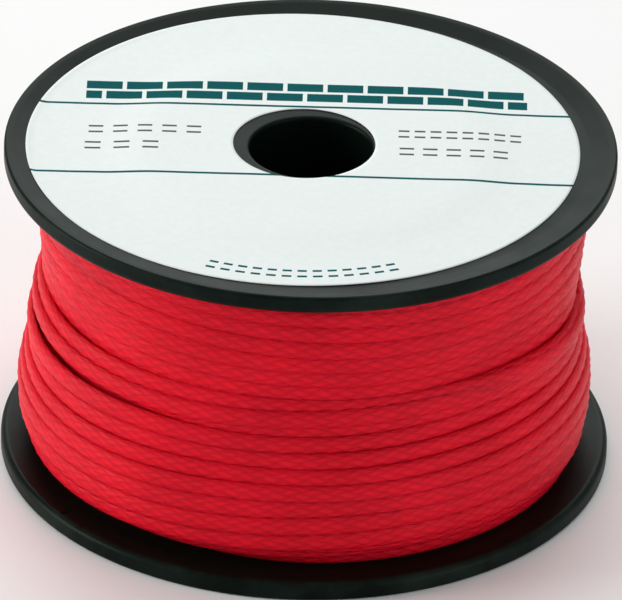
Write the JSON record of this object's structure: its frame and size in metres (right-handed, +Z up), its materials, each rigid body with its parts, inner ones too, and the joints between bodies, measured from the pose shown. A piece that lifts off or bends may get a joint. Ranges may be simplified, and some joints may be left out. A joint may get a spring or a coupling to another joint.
{
  "type": "mason's line spool",
  "caption": "Round moulded spool with two flanges and a through bore, wound with thin braided mason's line; a paper label lies in the upper flange.",
  "frame": {"origin": "middle of the ring that the spool stands on, at the bottom of the lower flange's rim", "axes": "+Z up along the bore; -Y is the front; the line's outer end lies on the back, at +Y"},
  "size_m": [0.085, 0.085, 0.048],
  "materials": {
    "spool_plastic": "moulded, fine grain",
    "label_paper": "uncoated label paper",
    "braided_line": "braided polyethylene yarn"
  },
  "bodies": {
    "root": {"lower_half": "spool_plastic", "upper_half": "spool_plastic", "upper_label": "label_paper", "line_winding": "braided_line", "line_tail": "braided_line", "line_start": "braided_line", "start_knot": "braided_line"}
  },
  "joints": []
}
